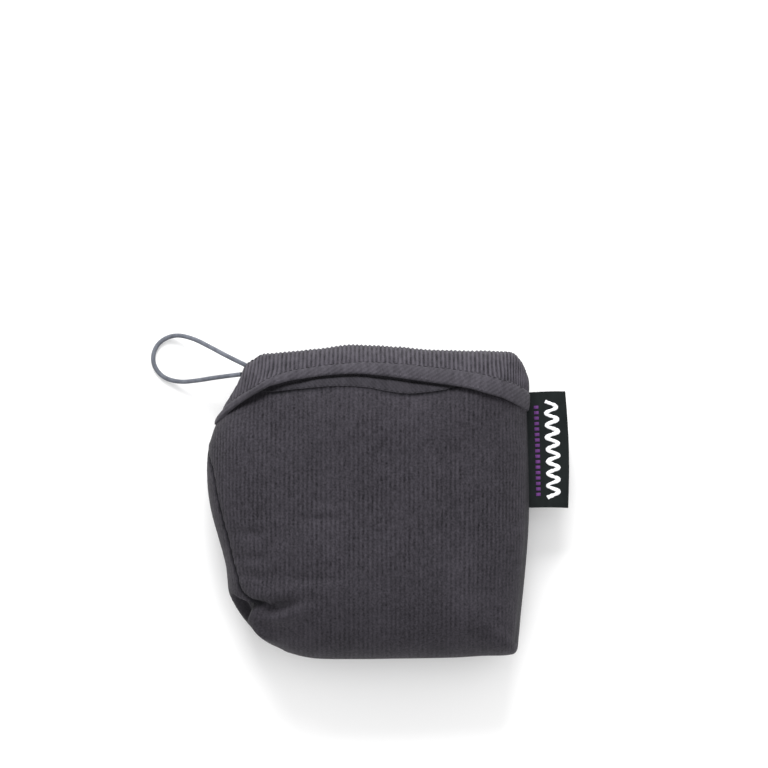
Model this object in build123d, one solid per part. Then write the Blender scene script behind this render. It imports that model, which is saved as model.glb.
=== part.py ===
"""Camp quilt packed in its own stuff pocket, lying on its back. Millimetres.

X runs across the pocket, Y from its bottom to its mouth, and Z up, away from the surface it lies on.
The origin is the middle of the pocket, on its resting face.
"""

import os
from math import atan2, cos, hypot, pi, radians, sin, sqrt, tan

from build123d import *

# ---------------------------------------------------------------- driving dimensions
WIDTH, LENGTH, THICKNESS = 166.8, 161.4, 62.0  # packed pocket, lying down
SEAM_HEIGHT = 25.0  # side seams above the resting face
UPPER_ROUND = 30.0  # rounding of the front panel into the seam
FABRIC = 0.8  # drawn wall of one layer of pocket fabric
SEAM_ALLOWANCE = 7.0
BINDING_WIDTH = 8.6
BINDING_WALL = 0.4

# Pocket outline seen from above: the lower left corner is tucked in, the upper left one slopes.
OUTLINE = [
    (-60.0, 76.5),
    (-10.0, 81.4),
    (76.0, 77.6),
    (83.4, 54.0),
    (83.4, 4.0),
    (76.6, -76.6),
    (56.0, -80.7),
    (-38.0, -80.7),
    (-60.0, -67.0),
    (-74.0, -45.0),
    (-83.8, 2.0),
    (-83.8, 30.0),
]
OUTLINE_ROUND = 9.0

# The lip's edge, and the mouth's edge under it, both arched, seen from above.
LIP_ARCH = [(-95, 25), (-64, 58.5), (-20, 66.8), (30, 62.2), (95, 44)]
MOUTH_ARCH = [(-95, 38), (-60, 63), (-12, 68.6), (26, 65.2), (95, 60)]
ARCH_ROUND = 28.0

LIP_GAP = 2.0  # lip over the front panel
HINGE_Y, HINGE_Z = 79.0, 41.3  # fold line that the lip turns back on
LIP_LOW_Y, LIP_LOW_Z = 47.0, 31.0  # lowest place of the lip, at the side seams
HOOD_WALL_TOP = 40.0
HOOD_START = 50.0  # the hood begins here, along the sides and on the back
MOUTH_BINDING_X = (-62.0, 66.0)  # from one side seam to the other, across the mouth
MOUTH_STITCHES_X = (-50.0, 52.0)
LIP_STITCHES_X = (-56.0, 66.0)
STITCH_INSET = 1.0  # from the binding's inner edge

# Seam allowances, by the stretch of outline that they follow, and the thread rows that close them
LEFT_SEAM_Y = (-48.0, 44.0)
RIGHT_SEAM_Y = (-64.0, 48.0)
BOTTOM_SEAM_X = (-34.0, 56.0)
SEAM_ROWS = [
    ((-79.4, 26.0), (-79.4, 4.0)),
    ((79.2, 46.0), (79.2, 6.0)),
    ((50.0, -76.6), (-34.0, -76.6)),
]

# Side label: a folded woven ribbon
LABEL_LENGTH = 60.0
LABEL_REACH = 18.5
LABEL_LAYER = 0.42
LABEL_FOLD_GAP = 0.2
LABEL_MIDDLE = (84.1, 26.8)
LABEL_ENDS_X = (-12.0, -5.6)  # from the seam, inside the pocket
LABEL_ENDS_Y = (-30.0, 21.0)
LABEL_STITCHES = ((-7.0, -28.0), (-7.0, 18.0))
PEAKS, PEAK_PITCH, PEAK_WIDTH, PEAK_RISE = 7, 7.3, 5.4, 3.8
PEAK_STROKE, PEAK_RAISED = 1.5, 0.15
PEAKS_X, PEAKS_Y = 13.6, 0.6
DASHES, DASH_PITCH, DASH_LENGTH, DASH_WIDTH, DASH_RAISED = 12, 4.0, 2.4, 1.1, 0.12
DASHES_X = 4.6

# Hang loop: elastic cord, from its upper leg round to its lower leg
CORD = 2.3
LOOP_CLEARANCE = 0.05  # round its ends, where it turns in the seam
LOOP_SEWN = 6.5  # of each end, inside the pocket
LOOP_GAP_SPARE = 3.0  # of the gap in the seam, past each leg
TACK_SIZE = (9.0, 2.0, 0.8)
TACK_PLACE = (-57.6, 68.2, 29.8)
TACK_TURN = 74.0
LOOP_ROUTE = [
    (-63.2, 70.4, 25.0),
    (-71.6, 74.4, 22.6),
    (-81.4, 79.6, 15.6),
    (-91.2, 84.6, 7.6),
    (-101.2, 86.6, 2.4),
    (-110.0, 82.0, 1.3),
    (-112.8, 72.8, 1.3),
    (-108.0, 64.6, 1.3),
    (-98.8, 61.6, 2.8),
    (-88.4, 62.6, 9.0),
    (-77.6, 64.4, 18.0),
    (-65.6, 65.8, 25.0),
]

# Quilt: one strip of face fabric, batting and lining, folded to and fro
LAYERS = 8
PITCH = 6.5
FIRST_LAYER = 5.9
STRIP = 5.8
SHEET = 0.4
FOLDS_AT_MOUTH = (46.0, 58.0, 56.0, 38.0)  # one for each pair of layers, from the bottom
FOLDS_AT_BOTTOM = (-54.0, -58.0, -50.0)
FREE_ENDS = (-42.0, -34.0)
HEM = 5.0
HEM_HALF_WIDTH = 44.0
QUILT_INSIDE = 5.5  # of the seam allowances
QUILT_UNDER = 1.3  # of the pocket's front and back
QUILTING_Y = (-34.0, 0.0, 34.0)
QUILTING_RADIUS, QUILTING_LENGTH = 0.2, 100.0
CORNER_PLACE, CORNER_SIZE = (-60.0, 66.0, 30.0), (40.0, 22.0, 80.0)  # left free for the loop's ends
CARE_LABEL_X, CARE_LABEL_Y, CARE_LABEL_THICKNESS = (12.0, 32.0), (-30.0, 10.0), 0.3

STITCH = 2.2
STITCH_PITCH = 3.2
THREAD = 0.25
STITCH_LIFT = 0.2  # keeps straight stitches clear of the domed cloth
REACH = 100.0  # past every side of the pocket


# ---------------------------------------------------------------- helpers
def block(low, high):
    """A box between two corners."""
    size = [b - a for a, b in zip(low, high)]
    return Pos(*low) * Box(*size, align=Align.MIN)


def cushion(width, across, up):
    """Cushion section on a flat face: arcs up to the seams, rounder arcs above, and a slightly domed top."""
    seam, half = SEAM_HEIGHT, width / 2 + across
    low, high = SEAM_HEIGHT + up, UPPER_ROUND + up
    top = THICKNESS + up
    inset, rise = half - high, top - seam
    dome = (inset**2 + rise**2 - high**2) / (2 * (rise - high))
    share = dome / hypot(inset, seam - (top - dome))
    meet = (inset * share, top - dome + (seam - (top - dome)) * share)
    angle = atan2(meet[1] - seam, meet[0] - inset) / 2
    side = (inset + high * cos(angle), seam + high * sin(angle))
    corner = (half - low + low * sqrt(0.5), seam - low * sqrt(0.5))
    right = [(half - low, -up), corner, (half, seam), side, meet]
    left = [(-x, z) for x, z in right]
    edges = [
        Edge.make_line(left[0], right[0]),
        Edge.make_three_point_arc(right[0], right[1], right[2]),
        Edge.make_three_point_arc(right[2], right[3], right[4]),
        Edge.make_three_point_arc(right[4], (0, top), left[4]),
        Edge.make_three_point_arc(left[4], left[3], left[2]),
        Edge.make_three_point_arc(left[2], left[1], left[0]),
    ]
    return Face(Wire(edges))


def pillow(across, up=None):
    """The stuffed pocket's shape, grown outwards by some amount to the sides and up and down."""
    up = across if up is None else up
    reach = REACH + 20
    along_y = extrude(Plane.XZ.offset(-reach) * cushion(WIDTH, across, up), amount=2 * reach)
    along_x = extrude(Plane.YZ.offset(-reach) * cushion(LENGTH, across, up), amount=2 * reach)
    outline = make_face(FilletPolyline(*OUTLINE, radius=OUTLINE_ROUND, close=True))
    plan = extrude(Pos(0, 0, -10) * offset(outline, across, kind=Kind.ARC), amount=THICKNESS + 20)
    return along_y & along_x & plan


def beyond(arch, shift=0.0):
    """Everything on the mouth's side of an arch."""
    line = FilletPolyline(*arch, radius=ARCH_ROUND)
    far = Polyline(arch[-1], (arch[-1][0], 130), (arch[0][0], 130), arch[0])
    return extrude(Pos(0, shift, -20) * make_face([*line.edges(), *far.edges()]), amount=120)


def height_over(solid, x, y):
    """The highest point of a solid above a place."""
    hits = solid.find_intersection_points(Axis((x, y, 200), (0, 0, -1)))
    return max(point.Z for point, _ in hits)


def stitch_row(points):
    """A short thread from each place towards the next."""
    return [
        Solid.make_cylinder(THREAD, STITCH, Plane(origin=a, z_dir=b - a))
        for a, b in zip(points, points[1:])
    ]


def spaced(line):
    """Places along a line, one for each stitch."""
    count = int(line.length / STITCH_PITCH)
    return [line @ (i / count) for i in range(count + 1)]


def row_on_arch(solid, arch, shift, span):
    """A stitch row on top of a solid, along an arch."""
    flat = [p + Vector(0, shift) for p in spaced(FilletPolyline(*arch, radius=ARCH_ROUND))]
    lift = THREAD + STITCH_LIFT
    places = [p for p in flat if span[0] < p.X < span[1]]
    return stitch_row([Vector(p.X, p.Y, height_over(solid, p.X, p.Y) + lift) for p in places])


# ---------------------------------------------------------------- pocket
def loop_gap():
    """Room in the seam for the two legs of the hang loop."""
    start, end = Vector(*LOOP_ROUTE[0]), Vector(*LOOP_ROUTE[-1])
    way = (end - start).normalized()
    length = (end - start).length + 2 * LOOP_GAP_SPARE
    return Solid.make_cylinder(CORD, length, Plane(origin=start - way * LOOP_GAP_SPARE, z_dir=way))


def make_pocket_panels():
    """Front panel, back panel and the fixed part of the hood, cut from one thin shell."""
    shell = pillow(0) - pillow(-FABRIC) - loop_gap()
    upper = block((-REACH, -REACH, SEAM_HEIGHT), (REACH, REACH, REACH))
    lower = block((-REACH, -REACH, -5), (REACH, HOOD_START, SEAM_HEIGHT))
    hood_sides = block((-REACH, HOOD_START, -5), (REACH, REACH, HOOD_WALL_TOP))
    front = (shell & upper) - beyond(MOUTH_ARCH) - hood_sides
    return {
        "front_panel": front,
        "back_panel": shell & lower,
        "hood_wall": shell & hood_sides,
    }


def make_mouth():
    """Bias binding folded over the front panel's mouth edge, and its stitches."""
    cover = pillow(BINDING_WALL) - pillow(-FABRIC - BINDING_WALL)
    band = beyond(MOUTH_ARCH, -BINDING_WIDTH) - beyond(MOUTH_ARCH, BINDING_WALL)
    left, right = MOUTH_BINDING_X
    inside = block((left, 0, HOOD_WALL_TOP + 1), (right, REACH, REACH))
    edge = (pillow(0) - pillow(-FABRIC)) - beyond(MOUTH_ARCH)
    row = row_on_arch(pillow(BINDING_WALL), MOUTH_ARCH, STITCH_INSET - BINDING_WIDTH, MOUTH_STITCHES_X)
    return {
        "mouth_binding": (cover & band & inside) - edge,
        "mouth_stitching": Compound(children=row),
    }


def make_seams():
    """Seam allowances on three sides, and the thread rows that close them."""
    inner = pillow(-FABRIC - SEAM_ALLOWANCE)
    level = block((-REACH, -REACH, SEAM_HEIGHT - FABRIC), (REACH, REACH, SEAM_HEIGHT + FABRIC))
    ring = (pillow(-FABRIC) & level) - inner
    above = SEAM_HEIGHT + FABRIC + THREAD
    rows = []
    for ends in SEAM_ROWS:
        rows += stitch_row(spaced(Line(*[(x, y, above) for x, y in ends])))
    left, right, bottom = LEFT_SEAM_Y, RIGHT_SEAM_Y, BOTTOM_SEAM_X
    middle = 40.0
    return {
        "left_seam_allowance": ring & block((-REACH, left[0], 0), (-middle, left[1], REACH)),
        "right_seam_allowance": ring & block((middle, right[0], 0), (REACH, right[1], REACH)),
        "bottom_seam_allowance": ring & block((bottom[0], -REACH, 0), (bottom[1], -middle, REACH)),
        "side_seam_stitching": Compound(children=rows),
    }


# ---------------------------------------------------------------- hood lip
def above_fold():
    """Everything over the slanted plane through the lip's fold line and its low ends."""
    slope = (HINGE_Z - LIP_LOW_Z) / (HINGE_Y - LIP_LOW_Y)
    corners = [
        (HINGE_Y + REACH, HINGE_Z),
        (HINGE_Y, HINGE_Z),
        (HINGE_Y - 2 * REACH, HINGE_Z - 2 * REACH * slope),
        (HINGE_Y - 2 * REACH, 2 * REACH),
        (HINGE_Y + REACH, 2 * REACH),
    ]
    side = make_face(Polyline(*corners, close=True))
    return extrude(Plane.YZ.offset(-REACH) * side, amount=2 * REACH)


def make_lip():
    """The part of the hood that turns back, with the bias binding on its edge and its stitches."""
    outer = LIP_GAP + FABRIC
    over = above_fold() & beyond(LIP_ARCH, -BINDING_WALL)
    lip = (pillow(outer) - pillow(LIP_GAP)) & over & beyond(LIP_ARCH)
    cover = (pillow(outer + BINDING_WALL) - pillow(LIP_GAP - BINDING_WALL)) & over
    row = row_on_arch(pillow(outer + BINDING_WALL), LIP_ARCH, BINDING_WIDTH - STITCH_INSET, LIP_STITCHES_X)
    return {
        "hood_lip": lip,
        "hood_binding": cover - beyond(LIP_ARCH, BINDING_WIDTH) - lip,
        "hood_stitching": Compound(children=row),
    }


# ---------------------------------------------------------------- side label
def make_label():
    """A ribbon folded at its outer edge, its woven marks, and the ends caught in the seam."""
    place = Pos(*LABEL_MIDDLE, SEAM_HEIGHT)
    half = LABEL_LAYER + LABEL_FOLD_GAP / 2
    flat = LABEL_REACH - half
    slot = LABEL_FOLD_GAP / 2
    outer = Pos(flat / 2, 0) * Rectangle(flat, 2 * half) + Pos(flat, 0) * Circle(half)
    inner = Pos(flat / 2, 0) * Rectangle(flat, 2 * slot) + Pos(flat, 0) * Circle(slot)
    ribbon = extrude(Plane.XZ.offset(-LABEL_LENGTH / 2) * (outer - inner), amount=LABEL_LENGTH)
    low = FABRIC + STITCH_LIFT
    high = low + 2 * LABEL_LAYER
    ends = block((LABEL_ENDS_X[0], LABEL_ENDS_Y[0], low), (LABEL_ENDS_X[1], LABEL_ENDS_Y[1], high))
    thread_line = Line(*[(x, y, high + THREAD) for x, y in LABEL_STITCHES])
    return {
        "side_label": place * ribbon,
        "label_motif_white": place * Compound(children=white_motif(half)),
        "label_motif_purple": place * Compound(children=purple_motif(half)),
        "label_sewn_ends": place * ends,
        "label_stitching": place * Compound(children=stitch_row(spaced(thread_line))),
    }


def white_motif(top):
    """A row of woven peaks along the label."""
    peak = Polyline((0, 0), (-PEAK_RISE, PEAK_WIDTH / 2), (0, PEAK_WIDTH))
    shape = extrude(trace(peak, PEAK_STROKE), amount=PEAK_RAISED)
    return [Pos(PEAKS_X, (i - PEAKS / 2) * PEAK_PITCH + PEAKS_Y, top) * shape for i in range(PEAKS)]


def purple_motif(top):
    """A row of short woven dashes beside the peaks."""
    dash = Box(DASH_WIDTH, DASH_LENGTH, DASH_RAISED, align=(Align.CENTER, Align.CENTER, Align.MIN))
    return [Pos(DASHES_X, (i - (DASHES - 1) / 2) * DASH_PITCH, top) * dash for i in range(DASHES)]


# ---------------------------------------------------------------- hang loop
def make_loop():
    """The free elastic loop, and its two ends sewn into the corner of the pocket."""
    points = [Vector(*p) for p in LOOP_ROUTE]
    radii = []
    for a, b, c in zip(points, points[1:], points[2:]):
        turn = radians((b - a).get_angle(c - b))
        radii.append(0.45 * min((b - a).length, (c - b).length) / tan(turn / 2))
    path = FilletPolyline(*LOOP_ROUTE, radius=radii)
    tube = sweep(Plane(origin=path @ 0, z_dir=path % 0) * Circle(CORD / 2), path=path)
    drawn = tube.volume / (path.length * pi * CORD**2 / 4)
    print("loop radii", [round(r, 1) for r in radii], "smallest allowed", 3 * CORD)
    print("loop length", round(path.length, 1), "drawn volume over section by length", round(drawn, 3))
    ends = []
    for place, inward in ((path @ 0, -(path % 0)), (path @ 1, path % 1)):
        tube += Pos(*place) * Sphere(CORD / 2)
        start = place + inward * (CORD / 2 + LOOP_CLEARANCE)
        ends.append(Solid.make_cylinder(CORD / 2, LOOP_SEWN, Plane(origin=start, z_dir=inward)))
    tack = Pos(*TACK_PLACE) * Rot(0, 0, TACK_TURN) * Box(*TACK_SIZE)
    return {"hang_loop": tube, "loop_sewn_ends": Compound(children=ends), "loop_bartack": tack}


# ---------------------------------------------------------------- quilt
def layer_height(i):
    return FIRST_LAYER + PITCH * i


def strip_line(off):
    """The folded strip's line, seen along X, moved off its middle."""
    edges = []
    y = FREE_ENDS[0]
    for i in range(LAYERS):
        side = 1 if i % 2 == 0 else -1
        z = layer_height(i) - side * off
        folds = FOLDS_AT_MOUTH if side > 0 else FOLDS_AT_BOTTOM
        end = FREE_ENDS[1] if i == LAYERS - 1 else folds[i // 2]
        edges.append(Edge.make_line((y, z), (end, z)))
        if i < LAYERS - 1:
            middle = layer_height(i) + PITCH / 2
            tip = (end + side * PITCH / 2 + off, middle)
            edges.append(Edge.make_three_point_arc((end, z), tip, (end, 2 * middle - z)))
        y = end
    return edges


def strip_layer(low, high):
    """One layer of the folded strip, between two distances off its middle, wider than the pocket."""
    a, b = strip_line(low), strip_line(high)
    ends = [Edge.make_line(a[0] @ 0, b[0] @ 0), Edge.make_line(a[-1] @ 1, b[-1] @ 1)]
    return extrude(Plane.YZ.offset(-REACH) * make_face([*a, *b, *ends]), amount=2 * REACH)


def make_quilt():
    """Face fabric, batting and lining, folded as one, with hems, quilting threads and a care label."""
    corner = Pos(*CORNER_PLACE) * Rot(0, 0, -45) * Box(*CORNER_SIZE)
    room = pillow(-FABRIC - SEAM_ALLOWANCE - QUILT_INSIDE, -FABRIC - QUILT_UNDER) - corner
    half, core = STRIP / 2, STRIP / 2 - SHEET
    hems = []
    for y, i in ((FREE_ENDS[0], 0), (FREE_ENDS[1], LAYERS - 1)):
        z = layer_height(i)
        hems.append(block((-HEM_HALF_WIDTH, y - HEM, z - half), (HEM_HALF_WIDTH, y, z + half)))
    threads = []
    for i in range(LAYERS - 1):
        for y in QUILTING_Y:
            line = Plane(origin=(-QUILTING_LENGTH / 2, y, layer_height(i) + PITCH / 2), z_dir=(1, 0, 0))
            threads.append(Solid.make_cylinder(QUILTING_RADIUS, QUILTING_LENGTH, line))
    low = FABRIC + CARE_LABEL_THICKNESS
    high = low + CARE_LABEL_THICKNESS
    return {
        "quilt_face_fabric": strip_layer(core, half) & room,
        "quilt_batting": strip_layer(-core, core) & room,
        "quilt_lining": strip_layer(-half, -core) & room,
        "quilt_hem_binding": Compound(children=hems),
        "quilt_quilting_thread": Compound(children=threads),
        "care_label": block(
            (CARE_LABEL_X[0], CARE_LABEL_Y[0], low),
            (CARE_LABEL_X[1], CARE_LABEL_Y[1], high),
        ),
    }


def save(name, shape):
    """Writes one node: a group of one or more solids."""
    export_step(Compound(children=shape.solids()), f"parts/{name}.step")


def main():
    os.makedirs("parts", exist_ok=True)
    nodes = {
        **make_pocket_panels(),
        **make_mouth(),
        **make_seams(),
        **make_lip(),
        **make_label(),
        **make_loop(),
        **make_quilt(),
    }
    for name, shape in nodes.items():
        print(name, len(shape.solids()), round(sum(s.volume for s in shape.solids())))
        save(name, shape)


main()
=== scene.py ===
"""Camp quilt stuffed into its own pocket: the looks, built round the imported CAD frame.

Shapes are worked out in millimetres, in the row frame, and stored in metres.
The pocket lies on its back: +X is towards the side label, +Y towards the hooded mouth, +Z up.
"""

import math

import bpy
import numpy as np
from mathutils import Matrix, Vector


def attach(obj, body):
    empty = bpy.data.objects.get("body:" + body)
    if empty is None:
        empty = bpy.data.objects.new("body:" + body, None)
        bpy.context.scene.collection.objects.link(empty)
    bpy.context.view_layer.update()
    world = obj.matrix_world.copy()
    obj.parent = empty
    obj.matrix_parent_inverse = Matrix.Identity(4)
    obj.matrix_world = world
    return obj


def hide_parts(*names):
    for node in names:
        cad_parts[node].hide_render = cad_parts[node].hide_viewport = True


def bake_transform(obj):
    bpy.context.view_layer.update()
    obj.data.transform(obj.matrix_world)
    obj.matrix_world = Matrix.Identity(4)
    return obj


MM = 0.001
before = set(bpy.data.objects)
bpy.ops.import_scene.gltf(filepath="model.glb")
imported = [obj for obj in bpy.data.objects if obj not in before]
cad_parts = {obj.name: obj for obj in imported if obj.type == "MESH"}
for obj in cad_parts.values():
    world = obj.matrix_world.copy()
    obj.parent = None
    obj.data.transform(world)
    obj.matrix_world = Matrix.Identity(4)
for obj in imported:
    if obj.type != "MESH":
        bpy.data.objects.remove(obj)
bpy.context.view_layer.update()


def put(name, data):
    """A new object of the scene."""
    thing = bpy.data.objects.new(name, data)
    bpy.context.scene.collection.objects.link(thing)
    return thing


# ---------------------------------------------------------------- camera, floor and light
VIEW_WIDTH = 0.394  # across the frame, at the middle of the pocket's height
VIEW_CENTRE = (0.0077, 0.0608)
CAMERA_HEIGHT = 3.0
MID_HEIGHT = 0.031
SENSOR = 36.0
LIGHT_TARGET = (0.0, 0.0, 0.03)


def make_camera():
    data = bpy.data.cameras.new("camera")
    data.sensor_width = SENSOR
    data.lens = SENSOR * (CAMERA_HEIGHT - MID_HEIGHT) / VIEW_WIDTH
    data.clip_start, data.clip_end = 0.1, 20.0
    camera = put("camera", data)
    camera.location = (*VIEW_CENTRE, CAMERA_HEIGHT)
    bpy.context.scene.camera = camera


def make_light(name, place, size, energy):
    data = bpy.data.lights.new(name, "AREA")
    data.shape = "RECTANGLE"
    data.size, data.size_y = size
    data.energy = energy
    lamp = put(name, data)
    lamp.location = place
    direction = Vector(np.array(LIGHT_TARGET) - np.array(place))
    lamp.rotation_euler = direction.to_track_quat("-Z", "Y").to_euler()


def make_studio():
    world = bpy.data.worlds.new("studio")
    world.use_nodes = True
    background = world.node_tree.nodes["Background"]
    background.inputs["Color"].default_value = (1.0, 1.0, 1.0, 1.0)
    background.inputs["Strength"].default_value = 0.92
    bpy.context.scene.world = world
    bpy.context.scene.view_settings.view_transform = "Standard"
    make_light("key", (-0.15, 1.35, 1.0), (1.0, 0.7), 30.0)
    make_light("fill", (0.5, 0.0, 1.7), (1.6, 1.6), 6.5)
    bpy.ops.mesh.primitive_plane_add(size=8.0, location=(0, 0, 0))
    floor = bpy.context.object
    floor.name = "floor"
    material = bpy.data.materials.new("floor")
    material.use_nodes = True
    shader = material.node_tree.nodes["Principled BSDF"]
    shader.inputs["Base Color"].default_value = (0.93, 0.93, 0.93, 1.0)
    shader.inputs["Roughness"].default_value = 0.9
    shader.inputs["Specular IOR Level"].default_value = 0.1
    floor.data.materials.append(material)


make_camera()
make_studio()


# ---------------------------------------------------------------- lines and noise
def travelled(points):
    """Distance along a line, at each of its points."""
    return np.concatenate([[0], np.cumsum(np.linalg.norm(np.diff(points, axis=0), axis=1))])


def evenly(line, count):
    """The same line, with count places evenly spaced along it."""
    along = travelled(line)
    at = np.linspace(0, along[-1], count)
    return np.stack([np.interp(at, along, line[:, k]) for k in range(line.shape[1])], axis=1)


def smooth_line(points, count, closed=False):
    """A Catmull-Rom line through points, with count places evenly spaced along it."""
    p = np.array(points, float)
    if closed:
        padded = np.vstack([p[-1:], p, p[:2]])
    else:
        padded = np.vstack([2 * p[0] - p[1], p, 2 * p[-1] - p[-2]])
    spans = len(padded) - 3
    u = np.linspace(0, spans, spans * 24 + 1)
    i = np.minimum(u.astype(int), spans - 1)
    f = (u - i)[:, None]
    a, b, c, d = padded[i], padded[i + 1], padded[i + 2], padded[i + 3]
    square, cube = 2 * a - 5 * b + 4 * c - d, 3 * b - a - 3 * c + d
    return evenly(0.5 * (2 * b + (c - a) * f + square * f**2 + cube * f**3), count)


def line_at(line, u):
    """Places along an evenly spaced line, for u from 0 to 1."""
    at = np.linspace(0, 1, len(line))
    return np.stack([np.interp(u, at, line[:, k]) for k in range(line.shape[1])], axis=-1)


def noise(x, y, size, seed):
    """Smooth noise from -1 to 1, with features about that many millimetres wide. size may be (x, y)."""
    sx, sy = (size, size) if np.isscalar(size) else size
    table = np.random.default_rng(seed).uniform(-1, 1, (64, 64))
    u, v = x / sx + 512, y / sy + 512
    i, j = np.floor(u).astype(int), np.floor(v).astype(int)
    f, g = u - i, v - j
    f, g = f * f * (3 - 2 * f), g * g * (3 - 2 * g)
    i, j = i % 64, j % 64
    i1, j1 = (i + 1) % 64, (j + 1) % 64
    low = table[i, j] * (1 - f) + table[i1, j] * f
    high = table[i, j1] * (1 - f) + table[i1, j1] * f
    return low * (1 - g) + high * g


def distance_to(x, y, points):
    """Distance to a polyline, and how far along it the nearest place is, from 0 to 1."""
    p = np.array(points, float)
    lengths = np.linalg.norm(np.diff(p, axis=0), axis=1)
    starts = travelled(p)
    best = np.full(x.shape, 1e9)
    along = np.zeros(x.shape)
    for a, b, length, start in zip(p, p[1:], lengths, starts):
        w = (b - a) / length
        u = np.clip((x - a[0]) * w[0] + (y - a[1]) * w[1], 0, length)
        d = np.hypot(x - a[0] - u * w[0], y - a[1] - u * w[1])
        nearer = d < best
        best = np.where(nearer, d, best)
        along = np.where(nearer, (start + u) / starts[-1], along)
    return best, along


def distance_over(p, line):
    """Distance in space from a grid of points to a line of points."""
    best = np.full(p.shape[:2], 1e9)
    for a, b in zip(line, line[1:]):
        length = np.linalg.norm(b - a)
        u = np.clip(((p - a) @ (b - a)) / length**2, 0, 1)
        best = np.minimum(best, np.linalg.norm(p - a - u[..., None] * (b - a), axis=-1))
    return best


def ease(x, low, high):
    """A soft step from 0 at low to 1 at high."""
    t = np.clip((x - low) / (high - low), 0, 1)
    return t * t * (3 - 2 * t)


def bell(distance, width):
    """1 where the distance is 0, falling off over about the width."""
    return np.exp(-((distance / width) ** 2))


# ---------------------------------------------------------------- the pocket's shape
OUTLINE = [
    (-83.0, 24), (-83.0, 8), (-81.0, -5), (-77.9, -16.4), (-75.3, -25.5), (-73.5, -33), (-72.8, -39.5),
    (-72.0, -46.2), (-69.2, -52.4), (-65.2, -58.6), (-61.3, -63.4), (-57.2, -68.0), (-52.6, -71.8),
    (-46, -75.0), (-40, -77.7), (-27, -80.3), (-4, -80.6), (14, -80.4), (42, -79.9), (58, -79),
    (71.0, -78.6), (75.8, -76.6), (77.0, -69), (78.2, -56), (80.1, -37.5), (81.6, -19), (82.3, -3),
    (82.1, 22), (81.4, 48), (81.9, 60.5), (80.6, 66.5), (77.6, 73), (74, 76.6), (66, 77.5), (38, 78.3),
    (18, 79.4), (5.6, 80.4), (-7, 80.9), (-19, 79.9), (-36, 78.2), (-48, 77.2), (-55, 76.2),
    (-59.5, 73), (-63.4, 69.8), (-67.3, 60.8), (-75.0, 47.6), (-80.0, 36.6),
]
SEAM = 25.0  # height of the side seams
RISE, DROP = 36.2, 26.4  # the front panel's and the back panel's fullness, from the seams
RIB = 2.35  # pitch of the cloth's ribs
READ_IN = 0.75  # arc lengths are read this far in from the ends, where the surface isn't steep
RIM = 3.2  # how high over the closed seam the cloth's relief is full
SNUG = 1.0005  # share_out reads this much full, so that the seams stay closed
ON_SEAM = 0.9999999  # the furthest that share_out goes
outline = smooth_line(OUTLINE, 1200, closed=True)
outline_angle = np.arctan2(outline[:, 1], outline[:, 0])
order = np.argsort(outline_angle)
outline_angle, outline_reach = outline_angle[order], np.hypot(outline[:, 0], outline[:, 1])[order]


def share_out(x, y):
    """How far out a place is, from 0 at the centre to 1 on the outline."""
    reach = np.interp(np.arctan2(y, x), outline_angle, outline_reach, period=2 * math.pi)
    return np.minimum(SNUG * np.hypot(x, y) / reach, ON_SEAM)


def top_height(x, y):
    rho = share_out(x, y)
    fullness = RISE * (1 + 0.012 * (y / 80) - 0.010 * (x / 80))
    return SEAM + fullness * (1 - rho**4.0) ** 0.47


def back_height(x, y):
    rho = share_out(x, y)
    return np.maximum(SEAM - DROP * (1 - rho**5) ** 0.43, 0.0)


def normal_of(height, x, y, sign):
    step = 0.05
    dx = (height(x + step, y) - height(x - step, y)) / (2 * step)
    dy = (height(x, y + step) - height(x, y - step)) / (2 * step)
    n = np.stack([-dx, -dy, np.ones_like(dx)], axis=-1) * sign
    return n / np.linalg.norm(n, axis=-1, keepdims=True)


def on_top(x, y, off=0.0):
    """Points on the front surface, moved out along the normal."""
    p = np.stack([x, y, top_height(x, y)], axis=-1)
    return p + normal_of(top_height, x, y, 1) * np.asarray(off)[..., None]


def on_back(x, y, off=0.0):
    p = np.stack([x, y, back_height(x, y)], axis=-1)
    return p + normal_of(back_height, x, y, -1) * np.asarray(off)[..., None]


def stretch_of_outline(start, end, count=200):
    """The outline's stretch between the places nearest to start and end, the shorter way round."""
    i = int(np.argmin(np.hypot(*(outline - start).T)))
    j = int(np.argmin(np.hypot(*(outline - end).T)))
    n = len(outline) - 1
    forward, backward = (j - i) % n, (i - j) % n
    step = 1 if forward <= backward else -1
    return evenly(outline[[(i + step * k) % n for k in range(min(forward, backward) + 1)]], count)


def patch(left, right, bottom, top, s, t):
    """A four-sided patch of the plan between four lines, at s across and t up."""
    l, r = line_at(left, t), line_at(right, t)
    b, u = line_at(bottom, s), line_at(top, s)
    s, t = s[..., None], t[..., None]
    corners = (1 - s) * (1 - t) * bottom[0] + s * (1 - t) * bottom[-1]
    corners = corners + (1 - s) * t * top[0] + s * t * top[-1]
    return (1 - t) * b + t * u + (1 - s) * l + s * r - corners


END_SHARE = 0.93  # how strongly places are packed towards an end


def both_ends(u, share=END_SHARE):
    """Packs places closer at both ends, where the cloth turns over the edge."""
    return (1 - share) * u + share * (0.5 - 0.5 * np.cos(math.pi * u))


def first_end(u):
    return (1 - END_SHARE) * u + END_SHARE * (1 - np.cos(math.pi * u / 2))


def last_end(u):
    return 1 - first_end(1 - u)


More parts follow.
